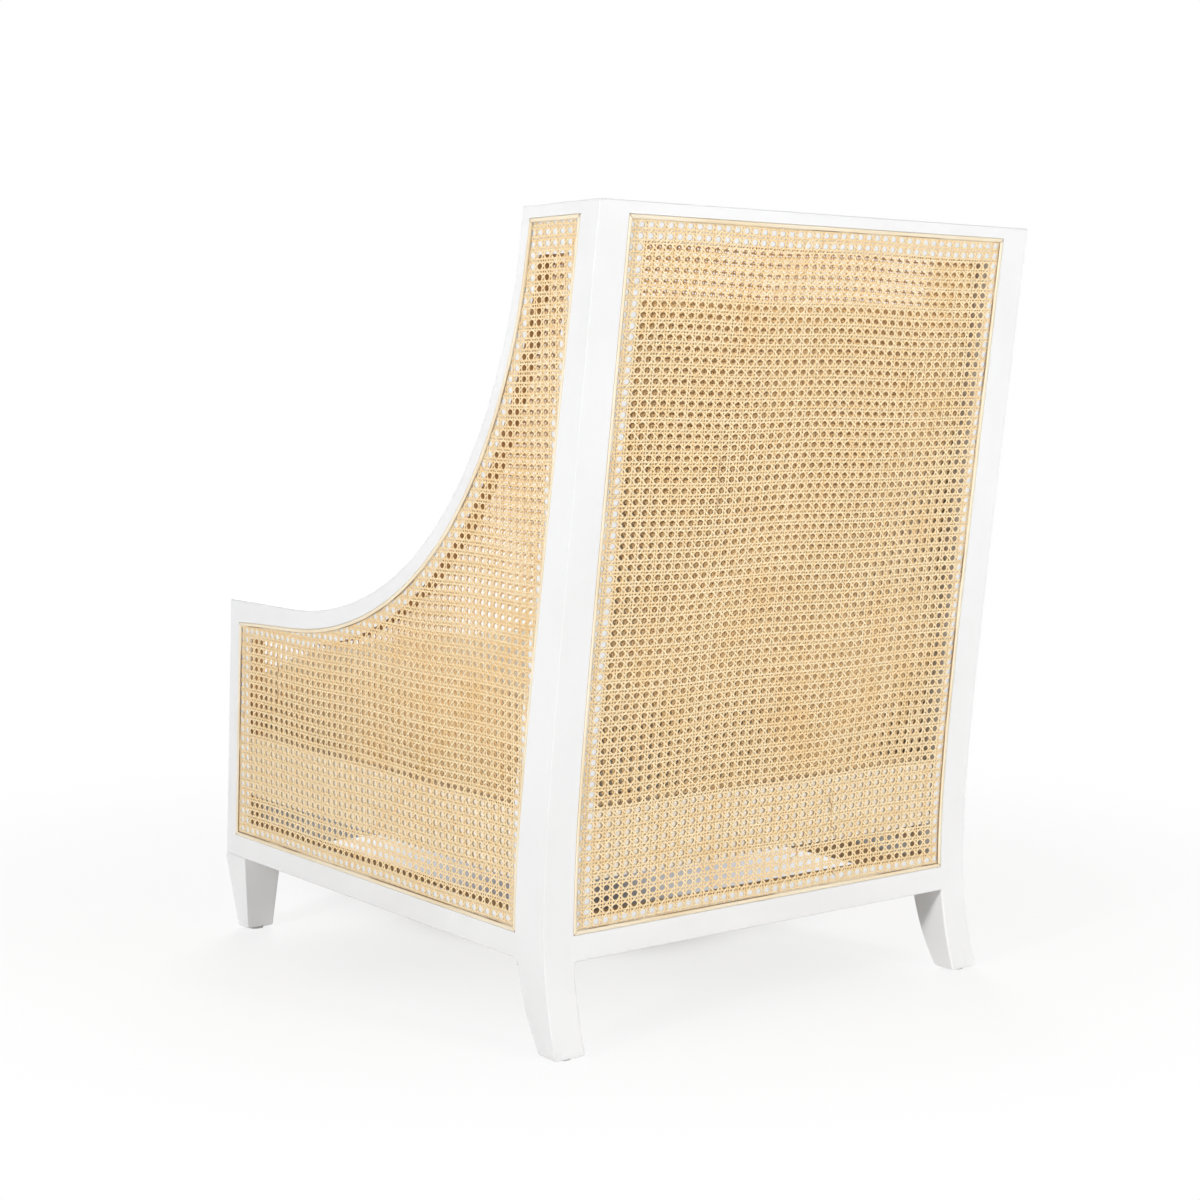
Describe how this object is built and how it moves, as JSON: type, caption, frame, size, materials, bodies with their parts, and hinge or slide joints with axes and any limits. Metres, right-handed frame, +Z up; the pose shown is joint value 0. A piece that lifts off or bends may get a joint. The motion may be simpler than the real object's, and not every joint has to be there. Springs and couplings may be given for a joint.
{
  "type": "club chair",
  "caption": "Low lounge armchair: white-lacquered wood frame with sabre back legs, caned back and sides whose arms sweep up into wings, and loose off-white seat and back cushions.",
  "frame": {"origin": "on the floor, in the middle of the rectangle that the chair covers", "axes": "+Z up, -Y the way the sitter faces, +X the sitter's left"},
  "size_m": [0.6706, 0.8272, 0.94],
  "materials": {
    "white_lacquer": "smooth white satin lacquer",
    "natural_cane": "natural half-inch cane webbing",
    "reed_spline": "natural reed",
    "beech": "plain planed beech",
    "seat_webbing": "woven jute and rubber webbing",
    "ivory_linen": "plain woven off-white linen over soft filling",
    "glide_nylon": "plain grey nylon"
  },
  "bodies": {
    "root": {"back_bottom_rail": "white_lacquer", "back_cushion": "ivory_linen", "back_inner_cane": "natural_cane", "back_inner_spline": "reed_spline", "back_outer_cane": "natural_cane", "back_outer_spline": "reed_spline", "back_seat_rail": "white_lacquer", "back_top_rail": "white_lacquer", "front_apron": "white_lacquer", "left_arm_rail": "white_lacquer", "left_back_batten": "white_lacquer", "left_bottom_rail": "white_lacquer", "left_front_corner_block": "beech", "left_front_glide": "glide_nylon", "left_front_leg": "white_lacquer", "left_front_post": "white_lacquer", "left_inner_cane": "natural_cane", "left_inner_spline": "reed_spline", "left_outer_cane": "natural_cane", "left_outer_spline": "reed_spline", "left_rear_corner_block": "beech", "left_rear_glide": "glide_nylon", "left_rear_post": "white_lacquer", "left_seat_rail": "white_lacquer", "left_side_batten": "white_lacquer", "left_wing_top_rail": "white_lacquer", "right_arm_rail": "white_lacquer", "right_back_batten": "white_lacquer", "right_bottom_rail": "white_lacquer", "right_front_corner_block": "beech", "right_front_glide": "glide_nylon", "right_front_leg": "white_lacquer", "right_front_post": "white_lacquer", "right_inner_cane": "natural_cane", "right_inner_spline": "reed_spline", "right_outer_cane": "natural_cane", "right_outer_spline": "reed_spline", "right_rear_corner_block": "beech", "right_rear_glide": "glide_nylon", "right_rear_post": "white_lacquer", "right_seat_rail": "white_lacquer", "right_side_batten": "white_lacquer", "right_wing_top_rail": "white_lacquer", "seat_cushion": "ivory_linen", "seat_strap_1": "seat_webbing", "seat_strap_2": "seat_webbing", "seat_strap_3": "seat_webbing", "seat_strap_4": "seat_webbing", "seat_strap_5": "seat_webbing"}
  },
  "joints": []
}
